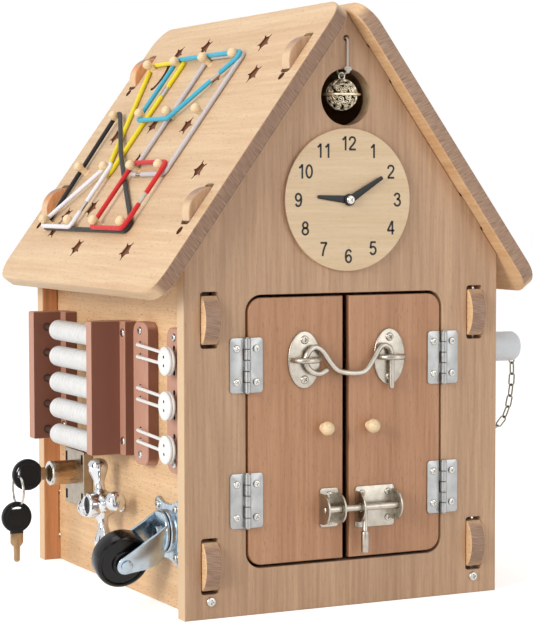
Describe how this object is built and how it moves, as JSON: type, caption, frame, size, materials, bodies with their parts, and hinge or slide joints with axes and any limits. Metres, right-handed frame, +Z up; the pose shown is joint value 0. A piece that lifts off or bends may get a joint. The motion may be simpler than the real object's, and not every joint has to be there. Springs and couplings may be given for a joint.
{
  "type": "activity house",
  "caption": "Wooden toy house with a gabled peg roof, hinged shutter doors with a hook and a barrel bolt, a clock, a hanging bell, and an abacus, laces, a lock, a tap and a caster on its wall",
  "frame": {"origin": "middle of the base, on the plane the house stands on", "axes": "+X to the right seen from the front, +Y from the front panel to the back panel, +Z up"},
  "size_m": [0.3406, 0.311, 0.4259],
  "materials": {
    "panel": "clear oiled beech, fine straight grain",
    "pale": "clear oiled pale beech",
    "door": "clear oiled reddish beech",
    "ply": "pale sanded birch",
    "brown": "brown painted face, bare edges",
    "white_plastic": "smooth white",
    "nickel": "bright nickel plate",
    "zinc": "bright zinc plate",
    "chrome": "polished chrome",
    "brass": "aged silver brass",
    "black": "smooth black",
    "cord": "white woven cord",
    "yellow": "yellow woven elastic",
    "cyan": "blue-green woven elastic",
    "grey": "grey woven elastic",
    "white": "white woven elastic",
    "red": "red woven elastic",
    "black_elastic": "black woven elastic"
  },
  "bodies": {
    "house": {"front_panel": "panel", "back_panel": "panel", "left_wall": "pale", "right_wall": "pale", "floor_board": "panel", "left_roof_panel": "pale", "right_roof_panel": "pale", "clock_dial": "ply", "bell_cord": "cord", "abacus_rear_plate": "brown", "abacus_front_plate": "brown", "loop_strip": "brown", "button_strip": "brown", "button_elastic": "cord", "lock_case": "nickel", "tap_base": "chrome", "caster_plate": "zinc", "stopper_chain": "nickel", "left_upper_hinge_frame_leaf": "nickel", "left_lower_hinge_frame_leaf": "nickel", "right_upper_hinge_frame_leaf": "nickel", "right_lower_hinge_frame_leaf": "nickel", "yellow_band": "yellow", "cyan_band": "cyan", "grey_band": "grey", "white_band": "white", "red_band": "red", "black_band": "black_elastic"},
    "left_door": {"left_door": "door", "left_door_knob": "ply", "left_hook_plate": "nickel", "bolt_keeper": "nickel", "left_upper_hinge_door_leaf": "nickel", "left_lower_hinge_door_leaf": "nickel"},
    "right_door": {"right_door": "door", "right_door_knob": "ply", "right_hook_plate": "nickel", "bolt_case": "nickel", "right_upper_hinge_door_leaf": "nickel", "right_lower_hinge_door_leaf": "nickel"},
    "hook": {"hook": "nickel"},
    "bolt": {"bolt": "nickel"},
    "hour_hand": {"hour_hand": "black"},
    "minute_hand": {"minute_hand": "black"},
    "bell": {"bell": "brass"},
    "bead_row_1": {"bead_row_1": "white_plastic"},
    "bead_row_2": {"bead_row_2": "white_plastic"},
    "bead_row_3": {"bead_row_3": "white_plastic"},
    "bead_row_4": {"bead_row_4": "white_plastic"},
    "bead_row_5": {"bead_row_5": "white_plastic"},
    "button_1": {"button_1": "white_plastic"},
    "button_2": {"button_2": "white_plastic"},
    "button_3": {"button_3": "white_plastic"},
    "key": {"lock_core": "nickel", "lock_key": "black"},
    "spare_key": {"spare_key": "black"},
    "tap_handle": {"tap_handle": "chrome"},
    "caster_fork": {"caster_fork": "zinc"},
    "caster_wheel": {"caster_wheel": "black"},
    "stopper_plug": {"stopper_plug": "white_plastic"}
  },
  "joints": [
    {"name": "left_door_swing", "type": "hinge", "parent": "house", "child": "left_door", "pos_m": [-0.0786, -0.1438, 0.1268], "axis": [0, 0, -1], "range_deg": [0, 119.9]},
    {"name": "right_door_swing", "type": "hinge", "parent": "house", "child": "right_door", "pos_m": [0.0786, -0.1438, 0.1268], "axis": [0, 0, 1], "range_deg": [0, 119.9]},
    {"name": "hook_lift", "type": "hinge", "parent": "left_door", "child": "hook", "pos_m": [-0.0245, -0.1462, 0.1758], "axis": [0, -1, 0], "range_deg": [0, 100]},
    {"name": "bolt_slide", "type": "slide", "parent": "right_door", "child": "bolt", "axis": [1, 0, 0], "range_m": [0, 0.022]},
    {"name": "hour_hand_turn", "type": "hinge", "parent": "house", "child": "hour_hand", "pos_m": [0, -0.1447, 0.2866], "axis": [0, 1, 0], "continuous": true},
    {"name": "minute_hand_turn", "type": "hinge", "parent": "house", "child": "minute_hand", "pos_m": [0, -0.1459, 0.2866], "axis": [0, 1, 0], "continuous": true},
    {"name": "bell_swing", "type": "hinge", "parent": "house", "child": "bell", "pos_m": [0, -0.134, 0.3734], "axis": [0, 1, 0], "range_deg": [-20, 20]},
    {"name": "bead_row_1_slide", "type": "slide", "parent": "house", "child": "bead_row_1", "axis": [0, 1, 0], "range_m": [0, 0.0225]},
    {"name": "bead_row_2_slide", "type": "slide", "parent": "house", "child": "bead_row_2", "axis": [0, 1, 0], "range_m": [0, 0.0225]},
    {"name": "bead_row_3_slide", "type": "slide", "parent": "house", "child": "bead_row_3", "axis": [0, 1, 0], "range_m": [0, 0.0225]},
    {"name": "bead_row_4_slide", "type": "slide", "parent": "house", "child": "bead_row_4", "axis": [0, 1, 0], "range_m": [0, 0.0225]},
    {"name": "bead_row_5_slide", "type": "slide", "parent": "house", "child": "bead_row_5", "axis": [0, 1, 0], "range_m": [0, 0.0225]},
    {"name": "button_1_pull", "type": "slide", "parent": "house", "child": "button_1", "axis": [-1, 0, 0], "range_m": [0, 0.005], "stiffness_N_per_m": 60},
    {"name": "button_2_pull", "type": "slide", "parent": "house", "child": "button_2", "axis": [-1, 0, 0], "range_m": [0, 0.005], "stiffness_N_per_m": 60},
    {"name": "button_3_pull", "type": "slide", "parent": "house", "child": "button_3", "axis": [-1, 0, 0], "range_m": [0, 0.005], "stiffness_N_per_m": 60},
    {"name": "key_turn", "type": "hinge", "parent": "house", "child": "key", "pos_m": [-0.112, 0.0745, 0.0772], "axis": [1, 0, 0], "range_deg": [0, 90]},
    {"name": "spare_key_swing", "type": "hinge", "parent": "key", "child": "spare_key", "pos_m": [-0.1665, 0.0745, 0.077], "axis": [1, 0, 0], "range_deg": [-15, 15]},
    {"name": "tap_turn", "type": "hinge", "parent": "house", "child": "tap_handle", "pos_m": [-0.129, -0.0006, 0.0623], "axis": [-1, 0, 0], "continuous": true},
    {"name": "caster_swivel", "type": "hinge", "parent": "house", "child": "caster_fork", "pos_m": [-0.112, -0.0875, 0.054], "axis": [1, 0, 0], "continuous": true},
    {"name": "caster_roll", "type": "hinge", "parent": "caster_fork", "child": "caster_wheel", "pos_m": [-0.1475, -0.08178, 0.03641], "axis": [0, 0.9511, 0.309], "continuous": true},
    {"name": "plug_slide", "type": "slide", "parent": "house", "child": "stopper_plug", "axis": [1, 0, 0], "range_m": [0, 0.015]}
  ]
}
